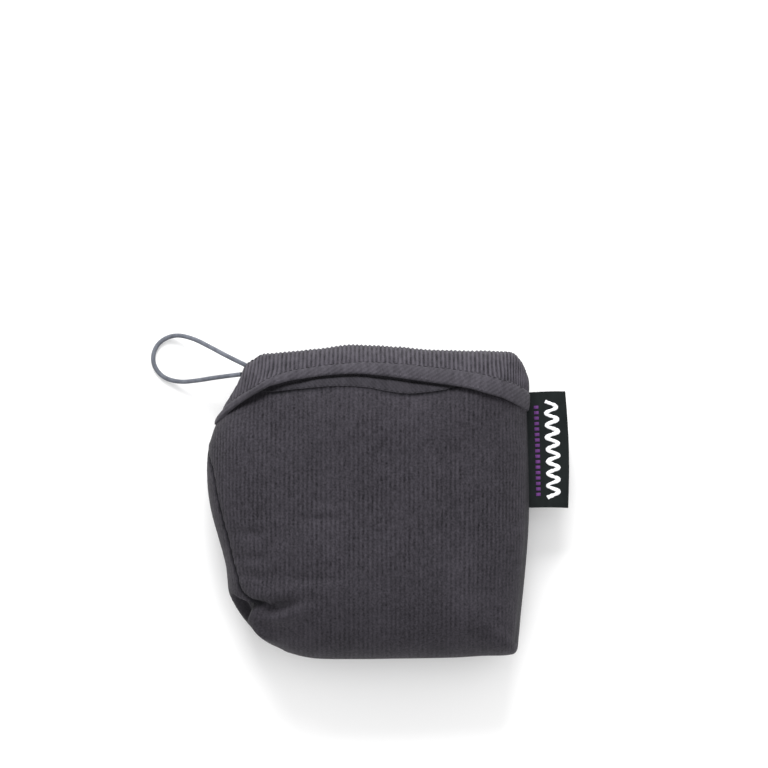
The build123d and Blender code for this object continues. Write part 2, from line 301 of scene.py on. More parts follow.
BOTTOM_LEFT, BOTTOM_RIGHT = (-57.2, -68.6), (75.6, -74.6)
TOP_LEFT, TOP_RIGHT = (-57.8, 74.4), (77.0, 74.4)
LIP = smooth_line(
    [(-78.9, 40.0), (-73.6, 45.7), (-66.4, 50.4), (-60.4, 53.6), (-55, 56.6), (-48.3, 59.6), (-39.5, 61.8),
     (-34, 62.7), (-24, 64.4), (-8, 65.6), (5, 64.6), (24.4, 62.2), (40.5, 60.1), (52, 58.2), (64, 55.2),
     (72, 52.5), (77.5, 49.8), (81.3, 47.4)], 400)
MOUTH = smooth_line(
    [(-76.6, 45), (-71.5, 53.4), (-61, 61.5), (-50, 64.9), (-32, 66.8), (-16, 68), (-2, 67.4), (10, 65.2),
     (20, 64.2), (30, 65), (42, 66.2), (56, 64), (68, 61), (76, 57.6), (81.3, 54.4)], 400)


def mouth_hem(x):
    """Width of the mouth's binding: it runs in under the hood's free edge at both ends."""
    return 4.2 + 4.5 * ease(x, -63, -50) - 4.2 * ease(x, 38, 50)


# ---------------------------------------------------------------- cloth relief
LEFT_SEAM = [(-83.4, 27), (-81.3, 19.5), (-79.6, 12.4), (-78.3, 5), (-76.8, -2), (-75.2, -8.8),
             (-72.6, -18.6), (-69.9, -29.2), (-67.6, -37.6), (-65.8, -44.6), (-60.4, -49.1), (-55.2, -52)]
TUCK = [(-76, -44.6), (-71.3, -45.6), (-66.3, -48.8), (-61.1, -50.4), (-55.0, -52.0), (-58.6, -55.0),
        (-60.4, -58.4), (-61.0, -63.4), (-66, -70), (-84, -58)]
RIGHT_SEAM = [(80.6, 70), (81.3, 60), (81.7, 45), (81.9, 20), (81.3, -6), (80.2, -25), (78.5, -45),
              (76.8, -60), (75.4, -71)]
VALLEY = [(-60.5, -51.5), (-54.5, -51.4), (-51, -53.8), (-45, -52.6), (-36, -49.6)]  # out of the tuck
SEAM_DEPTH, TUCK_DEPTH, LIP_DEPTH = 1.4, 5.5, 1.2  # how far each hollow goes in
LIP_PAINTED_SHADOW = 0.45  # how much painted shadow darkens the gap under the hood's free edge
# the most painted shade that the darkenings below add up to
DARKEST = 0.95
HALF_WIDTH = 84  # of the pocket
# Soft folds: the line that each follows, its height and its width.
FOLDS = [
    ([(-64, -43.5), (-54, -45.6), (-42, -45.4), (-28, -42.5)], 1.7, 4.2),
    (VALLEY, -3.8, 2.6),
    ([(-60, -52), (-57.5, -59), (-54.5, -66), (-52, -78)], 4.0, 5.0),
    ([(-48, -36.6), (-32, -38.8), (-12, -38)], -0.9, 2.6),
    ([(-55, -56.6), (-47, -57.4), (-36, -54.5), (-24, -54)], 1.3, 3.2),
    ([(-52, -57.5), (-42, -58), (-30, -55)], 1.2, 4.0),
    ([(-66.5, -36), (-57, -37.6), (-45, -36)], -1.0, 2.6),
    ([(-69, -27), (-60, -27.8), (-50, -26.2)], -0.9, 2.2),
    ([(-73, -15), (-62, -15.6), (-50, -13)], -1.1, 2.6),
    ([(-64, -11.5), (-52, -11), (-40, -8.6)], 0.7, 3.0),
    ([(-37, -7.2), (-27, -7.9), (-16, -7.4)], -1.0, 1.8),
    ([(-40, -3.6), (-26, -4.0), (-12, -3.4)], 0.45, 2.6),
    ([(-46, -24), (-30, -27), (-10, -24)], 0.5, 5.0),
    ([(-20, -62), (8, -58), (30, -61)], -0.55, 6.0),
    ([(20, 44), (26, 20), (24, -10)], -0.45, 8.0),
    ([(52, 34), (57, 6), (60, -30)], 0.55, 8.0),
    ([(-46, 38), (-44, 16), (-48, 0)], 0.5, 8.0),
    ([(-10, 46), (-13, 24), (-8, 4)], 0.45, 7.0),
    ([(58, -40), (63, -58), (70, -72)], -0.7, 4.5),
    ([(36, -36), (44, -52), (50, -70)], 0.5, 5.0),
    ([(70, 30), (73, 10), (72, -16)], -0.5, 3.2),
]


def swell(x, y):
    """The cloth's shallow ups and downs."""
    return 0.55 * noise(x, y, (34, 22), 3) + 0.30 * noise(x, y, (13, 9), 5) + 0.10 * noise(x, y, (5, 4), 7)


def soft_folds(x, y):
    total = swell(x, y)
    for points, height, width in FOLDS:
        d, along = distance_to(x, y, smooth_line(points, 12))
        fade = np.sin(math.pi * np.clip(along, 0.0, 1.0)) ** 0.6
        total += height * bell(d, width) * fade
    return total


def inside(x, y, corners):
    """How far inside a corner-by-corner outline a place is, and 0 outside."""
    p = np.array(corners + corners[:1], float)
    within = np.zeros(x.shape, bool)
    for (x0, y0), (x1, y1) in zip(p, p[1:]):
        if y0 != y1:
            within ^= ((y0 > y) != (y1 > y)) & (x < (x1 - x0) * (y - y0) / (y1 - y0) + x0)
    d, _ = distance_to(x, y, p)
    return np.where(within, d, 0.0)


def ribs(across, x, y, seed, broken=1.0):
    """The cloth's ribs, uneven and broken, from -1 to 1."""
    wander = 0.5 * noise(x, y, (14, 40), seed) + 0.5 * broken * noise(x, y, (2.6, 5), seed + 1)
    wave = np.sin(2 * math.pi * across / RIB + wander)
    strength = 0.55 * noise(x, y, (2.4, 2.0), seed + 2) + 0.22 * noise(x, y, (18, 12), seed + 3)
    puckers = 0.65 * broken * noise(x, y, (1.5, 1.9), seed + 4)
    return wave * np.clip(1.0 - 0.3 * broken + broken * strength, 0.1, 1.4) + puckers


def lip_shadow(x, y):
    """How deep a place lies in the gap under the hood's free edge, from 0 to 1: it dips the cloth and sets
    the painted shadow there.
    """
    below = np.interp(x, LIP[:, 0], LIP[:, 1]) - y
    wide = bell(x + 57, 15)
    near = (0.75 + 0.25 * wide) * bell(below - 0.2, 0.9 + 0.6 * wide)
    soft = 0.36 * wide * bell(below - 1.5, 3.4)
    return np.clip(near + soft, 0, 1) * ease(HALF_WIDTH - np.abs(x), 1.0, 16.0)


def seam_painted_shade(distance):
    """Painted shade along the closed seam, where the cloth turns under, by the height over it or under it."""
    return 0.8 * bell(distance, 1.1)


def over_surface(height, x, y, steps=40):
    """Arc length over a surface from the pocket's middle line, straight across to each place."""
    y = READ_IN * y
    total, last_x, last_z = 0.0, np.zeros(x.shape), height(np.zeros(x.shape), y)
    for u in np.sin(np.linspace(0, math.pi / 2, steps + 1))[1:]:
        new_z = height(x * u, y)
        total = total + np.hypot(x * u - last_x, new_z - last_z)
        last_x, last_z = x * u, new_z
    return total * np.sign(x)


# ---------------------------------------------------------------- meshes
def grid_mesh(name, p, flip=False, around=False, values=None):
    """A smooth grid of faces. around joins its last row to its first; values are point attributes."""
    rows, cols = p.shape[:2]
    mesh = bpy.data.meshes.new(name)
    index = np.arange(rows * cols).reshape(rows, cols)
    if around:
        index = np.vstack([index, index[:1]])
    row, after = index[:-1], index[1:]
    quads = np.stack([row[:, :-1], row[:, 1:], after[:, 1:], after[:, :-1]], axis=-1).reshape(-1, 4)
    if flip:
        quads = quads[:, ::-1]
    mesh.from_pydata((p.reshape(-1, 3) * MM).tolist(), [], quads.tolist())
    for key, value in (values or {}).items():
        attribute = mesh.attributes.new(key, "FLOAT", "POINT")
        attribute.data.foreach_set("value", np.asarray(value, np.float32).ravel())
    mesh.shade_smooth()
    mesh.update()
    return put(name, mesh)


def joined_mesh(name, parts):
    """One smooth mesh from several (points, faces)."""
    points, faces, start = [], [], 0
    for part_points, part_faces in parts:
        points += [tuple(c * MM for c in p) for p in part_points]
        faces += [tuple(i + start for i in face) for face in part_faces]
        start += len(part_points)
    mesh = bpy.data.meshes.new(name)
    mesh.from_pydata(points, [], faces)
    mesh.shade_smooth()
    mesh.update()
    return put(name, mesh)


def thread(a, b, lift, radius):
    """A stitch from a to b, as a rounded thread that dips into the cloth at both ends."""
    a, b, lift = np.array(a), np.array(b), np.array(lift)
    way = (b - a) / np.linalg.norm(b - a)
    side = np.cross(way, lift)
    points, faces, sides, rings = [], [], 6, 5
    for k in range(rings):
        u = k / (rings - 1)
        height = math.sin(math.pi * u)
        thick = radius * (0.45 + 0.55 * height)
        centre = a + (b - a) * u + lift * (0.25 * height - 0.1)
        for m in range(sides):
            turn = 2 * math.pi * m / sides
            points.append(centre + thick * (math.cos(turn) * side + math.sin(turn) * lift))
    for k in range(rings - 1):
        for m in range(sides):
            n = (m + 1) % sides
            faces.append((k * sides + m, k * sides + n, (k + 1) * sides + n, (k + 1) * sides + m))
    faces.append(tuple(range(sides))[::-1])
    faces.append(tuple(range((rings - 1) * sides, rings * sides)))
    return points, faces


def stitch_row(name, points, lifts, pitch=3.0, length=2.2, radius=0.24):
    """Stitches along a dense line of points, each lifted off the cloth under it."""
    along = travelled(points)
    parts = []
    for start in np.arange(pitch / 2, along[-1] - pitch, pitch):
        a, b, lift = (
            np.array([np.interp(at, along, source[:, k]) for k in range(3)])
            for at, source in ((start, points), (start + length, points), (start + length / 2, lifts))
        )
        parts.append(thread(a, b, lift / np.linalg.norm(lift), radius))
    return joined_mesh(name, parts)


# ---------------------------------------------------------------- materials
# painted shade: the near-black that cloth is mixed towards in creases, seams, recesses and under the hood's
# edge
PAINTED_SHADE_COLOUR = (0.006, 0.006, 0.008, 1)


def cloth(name, dark, light, roughness=0.78, fine=(2600, 900), crinkled=(430, 150, 150),
          depth=0.00006, twill=None, ribbed=0.0, shaded=False):
    """Woven cloth: two close colours broken up by yarn and by crinkle, with a fine bump.

    twill is the scale and the turn of a twill line. ribbed is how strongly the ribs show in the colour,
    darker in their valleys and lighter on their crests, partly the weave's own look and partly painted shade
    and light. Shaded or ribbed cloth is mixed towards near-black by a point attribute: painted shade in its
    creases, seams and recesses.
    """
    material = bpy.data.materials.new(name)
    material.use_nodes = True
    nodes, links = material.node_tree.nodes, material.node_tree.links
    shader = nodes["Principled BSDF"]
    shader.inputs["Roughness"].default_value = roughness
    shader.inputs["Specular IOR Level"].default_value = 0.12
    shader.inputs["Sheen Weight"].default_value = 0.03
    shader.inputs["Sheen Roughness"].default_value = 0.45
    place = nodes.new("ShaderNodeTexCoord").outputs["Object"]

    def mapped(scale=(1, 1, 1), turn=0.0):
        mapping = nodes.new("ShaderNodeMapping")
        mapping.inputs["Scale"].default_value = scale
        mapping.inputs["Rotation"].default_value = (0, 0, turn)
        links.new(place, mapping.inputs["Vector"])
        return mapping.outputs["Vector"]

    def stretched(scale, detail):
        texture = nodes.new("ShaderNodeTexNoise")
        texture.inputs["Scale"].default_value = 1.0
        texture.inputs["Detail"].default_value = detail
        links.new(mapped(scale), texture.inputs["Vector"])
        return texture.outputs["Fac"]

    def attribute(name):
        node = nodes.new("ShaderNodeAttribute")
        node.attribute_name = name
        return node.outputs["Fac"]

    def math_node(kind, a, b):
        node = nodes.new("ShaderNodeMath")
        node.operation = kind
        for socket, value in zip(node.inputs, (a, b)):
            if isinstance(value, (int, float)):
                socket.default_value = value
            else:
                links.new(value, socket)
        return node.outputs["Value"]

    yarn = stretched((fine[0], fine[1], fine[1]), 2.0)
    crinkle = stretched(crinkled, 3.0)
    patchy = stretched((38, 26, 26), 3.0)
    mix = math_node("ADD", math_node("MULTIPLY", yarn, 0.45), math_node("MULTIPLY", crinkle, 0.58))
    mix = math_node("ADD", mix, math_node("MULTIPLY", patchy, 0.25))
    height = math_node("ADD", math_node("MULTIPLY", yarn, 0.5), math_node("MULTIPLY", crinkle, 1.2))
    if twill:
        wave = nodes.new("ShaderNodeTexWave")
        wave.bands_direction = "X"
        wave.inputs["Scale"].default_value = twill[0]
        wave.inputs["Distortion"].default_value = 1.2
        wave.inputs["Detail"].default_value = 1.0
        links.new(mapped(turn=twill[1]), wave.inputs["Vector"])
        height = math_node("ADD", height, math_node("MULTIPLY", wave.outputs["Fac"], 0.85))
        mix = math_node("ADD", mix, math_node("MULTIPLY", wave.outputs["Fac"], 0.11))
    # the ribs in the colour: darker in their valleys and lighter on their crests, partly the weave's own look
    # and partly painted shade and light
    if ribbed:
        breaks = math_node("MULTIPLY", stretched((420, 820, 820), 1.0), 2.0 * ribbed)
        mix = math_node("ADD", mix, math_node("MULTIPLY", attribute("rib"), breaks))
    ramp = nodes.new("ShaderNodeValToRGB")
    ramp.color_ramp.elements[0].position, ramp.color_ramp.elements[1].position = 0.30, 0.86
    ramp.color_ramp.elements[0].color = (*dark, 1)
    ramp.color_ramp.elements[1].color = (*light, 1)
    links.new(mix, ramp.inputs["Fac"])
    colour = ramp.outputs["Color"]
    # painted shade: a point attribute mixes the colour towards near-black where shade would fall
    if ribbed or shaded:
        shade = nodes.new("ShaderNodeMix")
        shade.data_type = "RGBA"
        links.new(attribute("painted_shade"), shade.inputs["Factor"])
        links.new(colour, shade.inputs["A"])
        shade.inputs["B"].default_value = PAINTED_SHADE_COLOUR
        colour = shade.outputs["Result"]
    links.new(colour, shader.inputs["Base Color"])
    bump = nodes.new("ShaderNodeBump")
    bump.inputs["Strength"].default_value = 0.9
    bump.inputs["Distance"].default_value = depth
    links.new(height, bump.inputs["Height"])
    links.new(bump.outputs["Normal"], shader.inputs["Normal"])
    return material


def dress(piece, material, body, slot, *nodes):
    piece.data.materials.clear()
    piece.data.materials.append(material)
    if body:
        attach(piece, body)
    if nodes:
        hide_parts(*nodes)
    return piece


POCKET_LOOK = {
    "dark": (0.0034, 0.0031, 0.0043),
    "light": (0.0436, 0.0396, 0.0486),
    "crinkled": (900, 1000, 700),
    "depth": 0.00022,
    "ribbed": 0.12,
}
POCKET_CLOTH = cloth("pocket_cloth", **POCKET_LOOK)
HOOD_CLOTH = cloth("hood_cloth", (0.0100, 0.0092, 0.0120), (0.0630, 0.0577, 0.0698),
                   depth=0.00016, ribbed=0.26)
BACK_CLOTH = cloth("back_cloth", **POCKET_LOOK)
HOOD_TAPE = cloth("hood_tape", (0.0125, 0.0116, 0.0146), (0.0580, 0.0537, 0.0642),
                  twill=(165, 1.0), depth=0.00016)
MOUTH_TAPE = cloth("mouth_tape", (0.0085, 0.0078, 0.0102), (0.0340, 0.0314, 0.0380),
                   twill=(210, -0.75), depth=0.00014, shaded=True)
THREAD = cloth("thread", (0.008, 0.0076, 0.0095), (0.028, 0.026, 0.031), fine=(5200, 5200))
RIBBON = cloth("label_ribbon", (0.0035, 0.0052, 0.0052), (0.0100, 0.0130, 0.0135), fine=(5200, 1500))
WHITE = cloth("label_white", (0.62, 0.62, 0.66), (0.95, 0.95, 0.97), fine=(1500, 5200))
PURPLE = cloth("label_purple", (0.055, 0.018, 0.085), (0.150, 0.050, 0.210), fine=(1500, 5200))
CORD_COVER = cloth("cord_cover", (0.038, 0.041, 0.051), (0.150, 0.161, 0.188),
                   roughness=0.55, twill=(420, 0.8), depth=0.0001)
QUILT_CLOTH = cloth("quilt_cloth", (0.0095, 0.0088, 0.0112), (0.0380, 0.0355, 0.0420), depth=0.00025)
CARE_TAPE = cloth("care_tape", (0.55, 0.55, 0.56), (0.80, 0.80, 0.80), fine=(3000, 3000))


# ---------------------------------------------------------------- pocket panels
def panel_plan(rows, cols, top):
    """The plan of a panel, from the pocket's bottom to a line at its top."""
    s, t = np.meshgrid(both_ends(np.linspace(0, 1, cols)), first_end(np.linspace(0, 1, rows)))
    left = stretch_of_outline(BOTTOM_LEFT, top[0])
    right = stretch_of_outline(BOTTOM_RIGHT, top[-1])
    bottom = stretch_of_outline(BOTTOM_LEFT, BOTTOM_RIGHT, 600)
    plan = patch(left, right, bottom, top, s, t)
    return plan[..., 0], plan[..., 1]


def make_front():
    """The front panel, up to the mouth, with the rolled seam and the tucked corner at its left."""
    x, y = panel_plan(150, 560, MOUTH)
    rib = ribs(over_surface(top_height, x, y), x, y, 11) * (1 - 0.27 * ease(-y, 20, 60))
    inward = 1 - share_out(x, y)
    edge = ease(inward, 0.0, 0.05)
    over_seam = top_height(x, y) - SEAM

    # The rolled seam at the left, with its shoulder and its puckers, and the straight seam at the right: both
    # seams are dipped into the cloth and darkened with painted shade.
    d, along = distance_to(x, y, LEFT_SEAM)
    seam_plan = smooth_line(LEFT_SEAM, 60)
    seam = bell(distance_over(on_top(x, y), on_top(seam_plan[:, 0], seam_plan[:, 1])), 0.85)
    seam *= ease(1 - along, -0.05, 0.05)
    seam_x = np.interp(y, [p[1] for p in LEFT_SEAM[::-1]], [p[0] for p in LEFT_SEAM[::-1]])
    shoulder = bell(d - 3.0, 2.2) * (x > seam_x)
    pucker = np.exp(-d / 5.0) * np.sin(2 * math.pi * (y + 1.5 * noise(x, y, 6, 31)) / 4.6)
    right_seam = bell(distance_to(x, y, RIGHT_SEAM)[0], 1.2)

    # The tuck at the lower left corner, and the valley that runs out of it: both sunk into the cloth and
    # darkened with painted shade.
    depth = inside(x, y, TUCK)
    hollow = (1 - np.exp(-((depth / 2.0) ** 1.4))) * ease(inward, 0.0, 0.02)
    recess = (1 - np.exp(-((depth / 1.2) ** 1.4))) * (0.30 + 0.55 * ease(x, -71, -60))
    valley, valley_along = distance_to(x, y, VALLEY)
    valley_shade = bell(valley, 1.4) * (1 - ease(valley_along, 0.15, 0.9))

    # The gap under the hood's free edge, the sewn line of the mouth's binding and the gathers along it; the
    # gap and the sewn line are dipped and darkened with painted shade.
    shadow = lip_shadow(x, y)
    sewn = MOUTH[70:330:6]
    sewn_line = np.stack([sewn[:, 0], sewn[:, 1] - mouth_hem(sewn[:, 0])], axis=1)
    sewn_d, sewn_along = distance_to(x, y, sewn_line)
    line = bell(sewn_d, 0.65) * ease(sewn_along, 0.0, 0.08)
    under = np.interp(x, MOUTH[:, 0], MOUTH[:, 1]) - mouth_hem(x) - y
    wave = np.sin(2 * math.pi * x / 4.4 + 1.5 * noise(x, y, (8, 20), 41))
    gather = np.exp(-np.abs(under) / 7.0) * wave

    relief = soft_folds(x, y) * edge
    relief += 0.07 * rib * (0.3 + 0.7 * edge)
    relief += 0.3 * shoulder + 0.16 * pucker + 0.10 * gather - SEAM_DEPTH * seam - 0.6 * line
    relief -= TUCK_DEPTH * hollow + 0.5 * right_seam + LIP_DEPTH * shadow
    relief *= ease(over_seam, 0.0, RIM)
    # painted shade: the seams, the tuck's hollow, the valley, the sewn line and the gap under the hood, added
    # up
    painted_shade = 1.3 * seam + 0.9 * line + recess + 0.6 * right_seam + LIP_PAINTED_SHADOW * shadow + 0.6 * valley_shade
    painted_shade = np.clip(painted_shade + seam_painted_shade(over_seam), 0, DARKEST)
    piece = grid_mesh("front_cloth", on_top(x, y, relief), values={"rib": rib, "painted_shade": painted_shade})
    dress(piece, POCKET_CLOTH, "pocket", "pocket_fabric", "front_panel", "left_seam_allowance",
          "right_seam_allowance", "bottom_seam_allowance", "side_seam_stitching")


def make_back():
    """The back panel, flat where it lies."""
    top = np.stack([np.linspace(-75.0, 82.8, 50), np.full(50, 49.0)], axis=1)
    x, y = panel_plan(150, 420, top)
    rib = ribs(over_surface(back_height, x, y), x, y, 51)
    edge = ease(1 - share_out(x, y), 0.0, 0.04)
    under_seam = SEAM - back_height(x, y)
    rim = ease(under_seam, 0.0, RIM)
    lifted = ease(back_height(x, y), 1.0, 8.0)
    crumple = 0.9 * noise(x, y, (26, 16), 61) + 0.5 * noise(x, y, (11, 8), 63)
    relief = crumple * edge * lifted + 0.12 * rib * edge
    p = on_back(x, y, (relief - 0.55) * rim)
    p[..., 2] = np.maximum(p[..., 2], 0.25 + 0.12 * (1 + rib))
    # the back panel gets painted shade along its closed seam
    piece = grid_mesh("back_cloth", p, flip=True, values={"rib": rib, "painted_shade": seam_painted_shade(under_seam)})
    dress(piece, BACK_CLOTH, "pocket", "pocket_fabric", "back_panel")


# ---------------------------------------------------------------- hood
hood_left = stretch_of_outline(LIP[0], TOP_LEFT)
hood_right = stretch_of_outline(LIP[-1], TOP_RIGHT)
hood_top = stretch_of_outline(TOP_LEFT, TOP_RIGHT, 600)
HOOD_OUT = 0.4  # the hood's cloth over the front and back panels
HOOD_RIB = 2.2  # pitch of its ribs
FOLD_Y = 80  # the ribs' unevenness carries on over the top of the pocket from this line
TAPE_IN = 0.95  # half the thickness of the folded binding


def lip_lift(s, t):
    """How far the hood stands off the front panel: most at its free edge, left of the middle."""
    puff = 2.5 + 1.5 * bell(s - 0.20, 0.14) + 0.5 * bell(s - 0.55, 0.1)
    ends = ease(s, 0.02, 0.2) * ease(1 - s, 0.0, 0.12)
    return (HOOD_OUT + puff * ends * (1 - ease(t, 0.0, 0.95))) * ease(1 - t, 0.0, 0.2)


def hood_at(s, t, off=0.0):
    """Points of the turn-back part of the hood, t from its free edge to the top of the pocket."""
    plan = patch(hood_left, hood_right, LIP, hood_top, s, t)
    return on_top(plan[..., 0], plan[..., 1], lip_lift(s, t) + off), plan


def make_hood():
    """The hood in one piece: its lip, over the top of the pocket, and down the back."""
    cols, front_rows, back_rows = 560, 62, 60
    s, t = np.meshgrid(both_ends(np.linspace(0, 1, cols)), last_end(np.linspace(0, 1, front_rows)))
    front, plan = hood_at(s, t)
    s2, t2 = np.meshgrid(s[0], first_end(np.linspace(0, 1, back_rows))[1:])
    low = np.stack([np.linspace(-77.0, 82.8, 50), np.full(50, 46.5)], axis=1)
    left = stretch_of_outline(TOP_LEFT, low[0])
    right = stretch_of_outline(TOP_RIGHT, low[-1])
    back_plan = patch(left, right, hood_top, low, s2, t2)
    x = np.vstack([plan[..., 0], back_plan[..., 0]])
    y = np.vstack([plan[..., 1], back_plan[..., 1]])
    down = np.vstack([np.zeros(t.shape), t2])
    back = on_back(back_plan[..., 0], back_plan[..., 1], HOOD_OUT * ease(t2, 0, 0.1))
    across = np.vstack([
        over_surface(top_height, plan[..., 0], plan[..., 1]),
        over_surface(back_height, back_plan[..., 0], back_plan[..., 1]),
    ])
    unrolled = np.vstack([y[:front_rows], 2 * FOLD_Y - y[front_rows:]])
    rib = ribs(across * (RIB / HOOD_RIB), x, unrolled, 71, broken=0.35)
    both = np.vstack([s, s2])
    sides = ease(both, 0.0, 0.02) * ease(1 - both, 0.0, 0.02)
    lower = y - 60 * down
    relief = 0.36 * rib * (0.4 + 0.6 * sides)
    relief += (0.40 * noise(x, lower, (15, 12), 73) + 0.16 * noise(x, lower, (6, 5), 75)) * sides
    normals = np.vstack([
        normal_of(top_height, x[:front_rows], y[:front_rows], 1),
        normal_of(back_height, x[front_rows:], y[front_rows:], -1),
    ])
    p = np.vstack([front, back]) + normals * relief[..., None]
    p[..., 2] = np.maximum(p[..., 2], 0.02 + 0.1 * (1 + rib))
    piece = grid_mesh("hood_cloth", p, values={"rib": rib, "painted_shade": np.zeros(rib.shape)})
    dress(piece, HOOD_CLOTH, None, "hood_fabric", "hood_wall", "hood_lip")
    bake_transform(piece)


def tape_width(s):
    """Width of the hood's binding, seen from above."""
    return np.interp(s, (0.0, 0.25, 0.42, 0.6, 0.8, 1.0), (5.3, 5.5, 5.0, 5.9, 6.7, 8.8))


def make_hood_tape():
    """Bias tape folded over the hood's free edge, with its stitches."""
    s = both_ends(np.linspace(0.001, 0.999, 420), 0.5)
    length = np.linalg.norm(line_at(hood_top, s) - line_at(LIP, s), axis=1)
    reach = np.clip(tape_width(s) / np.maximum(length, 1.0), 0.02, 0.9)
    rows = []
    for q in np.linspace(1, 0, 12):
        puff = 0.45 + 0.55 * math.sin(math.pi * min(1.0, (1 - q) * 1.05 + 0.02)) ** 0.7
        wave = 0.12 * noise(s * 170, np.full(s.shape, q * 6), (5, 4), 81)
        rows.append(hood_at(s, reach * q, puff * (0.25 if q == 1 else 1.0) + wave)[0])
    edge_top, edge_low = rows[-1], hood_at(s, np.zeros(s.shape), -TAPE_IN)[0]
    outward = np.zeros_like(edge_top)
    along = np.gradient(line_at(LIP, s), axis=0)
    outward[:, 0], outward[:, 1] = along[:, 1], -along[:, 0]
    outward /= np.linalg.norm(outward, axis=1, keepdims=True)
    middle, half = (edge_top + edge_low) / 2, (edge_top - edge_low) / 2
    for turn in np.linspace(0, math.pi, 8)[1:-1]:
        rows.append(middle + half * math.cos(turn) + outward * TAPE_IN * math.sin(turn))
    for q in (0.0, 0.25, 0.5, 0.75, 0.9):
        rows.append(hood_at(s, reach * q, -TAPE_IN if q < 0.8 else -0.3)[0])
    piece = grid_mesh("hood_tape", np.array(rows), flip=True)
    dress(piece, HOOD_TAPE, None, "bias_binding", "hood_binding")
    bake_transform(piece)
    inner = (s > 0.04) & (s < 0.97)
    line, plan = hood_at(s[inner], reach[inner] * 0.93, 0.62)
    lifts = normal_of(top_height, plan[:, 0], plan[:, 1], 1)
    stitches = stitch_row("hood_stitches", line, lifts)
    dress(stitches, THREAD, None, "thread", "hood_stitching")
    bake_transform(stitches)


MOUTH_UNDER = -2.6  # how deep the binding's inner face lies


def make_mouth_tape():
    """Bias tape folded over the front panel's mouth edge, with its stitches."""
    u = np.linspace(0.03, 0.97, 420)
    line = line_at(MOUTH, u)
    fade = ease(u, 0.03, 0.16) * ease(1 - u, 0.03, 0.16)
    rows, painted_shades = [], []
    for q in np.linspace(0.96, 0, 24):
        lift = 0.25 + 0.5 * math.sin(math.pi * min(1.0, (1 - q) * 1.3)) ** 0.6 * (1 if q > 0.3 else 0.9)
        x, y = line[:, 0], line[:, 1] - mouth_hem(line[:, 0]) * q
        shadow = lip_shadow(x, y)
        rows.append(on_top(x, y, swell(x, y) + 0.1 + lift * (0.3 + 0.7 * fade) - LIP_DEPTH * shadow))
        # painted shadow of the hood's free edge on the binding
        painted_shades.append(LIP_PAINTED_SHADOW * shadow)
    top = rows[-1]
    inner = np.full(u.shape, MOUTH_UNDER)
    low = on_top(line[:, 0], line[:, 1], inner)
    middle, half = (top + low) / 2, (top - low) / 2
    for turn in np.linspace(0, math.pi, 7)[1:-1]:
        rows.append(middle + half * math.cos(turn) + np.array((0, 0.6, 0)) * math.sin(turn))
    for q in (0.0, 0.3, 0.6, 0.9):
        rows.append(on_top(line[:, 0], line[:, 1] - mouth_hem(line[:, 0]) * q, inner))
    painted_shades += [painted_shades[-1]] * (len(rows) - len(painted_shades))
    piece = grid_mesh("mouth_tape", np.array(rows), values={"painted_shade": np.array(painted_shades)})
    dress(piece, MOUTH_TAPE, "pocket", "bias_binding", "mouth_binding")
    x = line[64:-40, 0]
    y = line[64:-40, 1] - mouth_hem(x) + 0.9
    lifts = normal_of(top_height, x, y, 1)
    stitches = stitch_row("mouth_stitches", on_top(x, y, swell(x, y) + 0.5), lifts)
    dress(stitches, THREAD, "pocket", "thread", "mouth_stitching")


# ---------------------------------------------------------------- side label
LABEL_CORNERS = np.array([(79.8, 56.4), (101.0, 57.3), (102.5, -2.8), (81.4, -2.8)])
LABEL_HALF = 0.48  # half its thickness
LABEL_TURN = 0.975  # where the ribbon starts to turn round its fold
DASHES = 17


def label_at(u, v, off=0.0):
    """Points on the label: u from its root to its fold, v from its lower to its upper end."""
    u, v = np.broadcast_arrays(np.asarray(u, float), np.asarray(v, float))
    upper_root, upper_fold, lower_fold, lower_root = LABEL_CORNERS
    weights = [
        ((1 - u) * v, upper_root),
        (u * v, upper_fold),
        (u * (1 - v), lower_fold),
        ((1 - u) * (1 - v), lower_root),
    ]
    x, y = (sum(w * corner[k] for w, corner in weights) for k in (0, 1))
    x = x + 1.1 * u * np.sin(math.pi * v)
    y = y + 0.25 * u * np.sin(4 * u)
    z = SEAM + 0.6 * np.sin(2.6 * v + 0.5) * u - 2.6 * u**1.6 + 0.25 * np.sin(9 * v) * u
    return np.stack([x, y, z + off], axis=-1)


